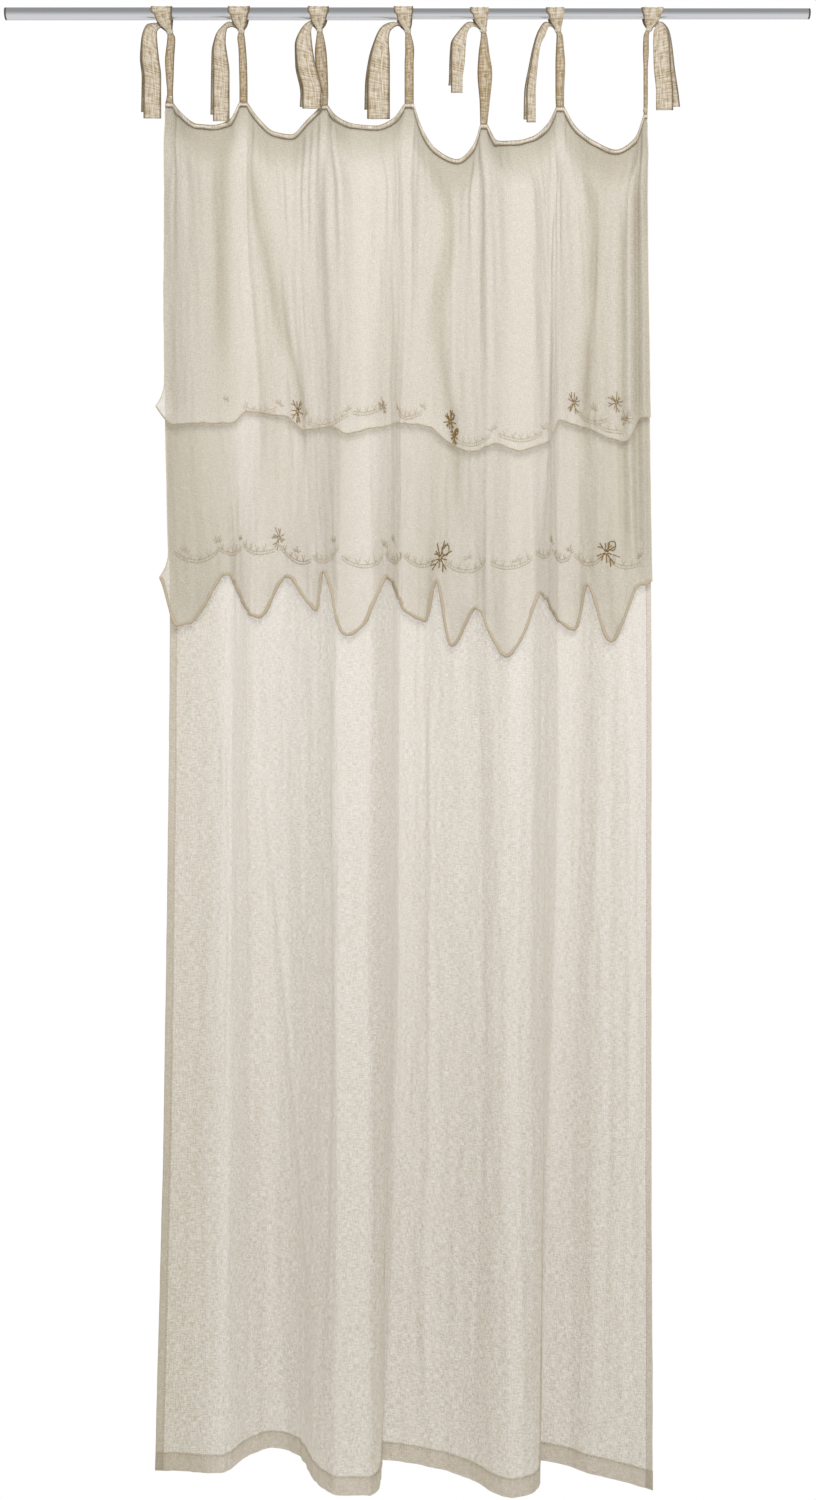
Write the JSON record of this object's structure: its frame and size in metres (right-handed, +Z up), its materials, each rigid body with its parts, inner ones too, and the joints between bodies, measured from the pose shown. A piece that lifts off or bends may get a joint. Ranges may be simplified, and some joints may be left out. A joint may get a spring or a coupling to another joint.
{
  "type": "curtain panel on a curtain rod",
  "caption": "Sheer crinkled linen curtain panel with a plain upper valance and a pointed lower valance, tied by knotted ribbons to a slim telescopic rod.",
  "frame": {"origin": "on the curtain rod's axis, half way between its two ends", "axes": "+Z up, +X along the rod to the right as seen from the front, and the front of the cloth faces -Y"},
  "size_m": [1.424, 0.2051, 2.5905],
  "materials": {
    "rod_metal": "satin drawn tube",
    "cap_plastic": "moulded, dark grey",
    "linen": "sheer crinkled open weave, natural off-white",
    "linen_tape": "doubled open weave, natural beige"
  },
  "bodies": {
    "root": {"rod_wide_tube": "rod_metal", "rod_narrow_tube": "rod_metal", "rod_cap_left": "cap_plastic", "rod_cap_right": "cap_plastic", "main_panel": "linen", "lower_valance": "linen", "upper_valance": "linen", "heading_binding": "linen_tape", "tie_1": "linen_tape", "tie_2": "linen_tape", "tie_3": "linen_tape", "tie_4": "linen_tape", "tie_5": "linen_tape", "tie_6": "linen_tape", "tie_7": "linen_tape"}
  },
  "joints": []
}
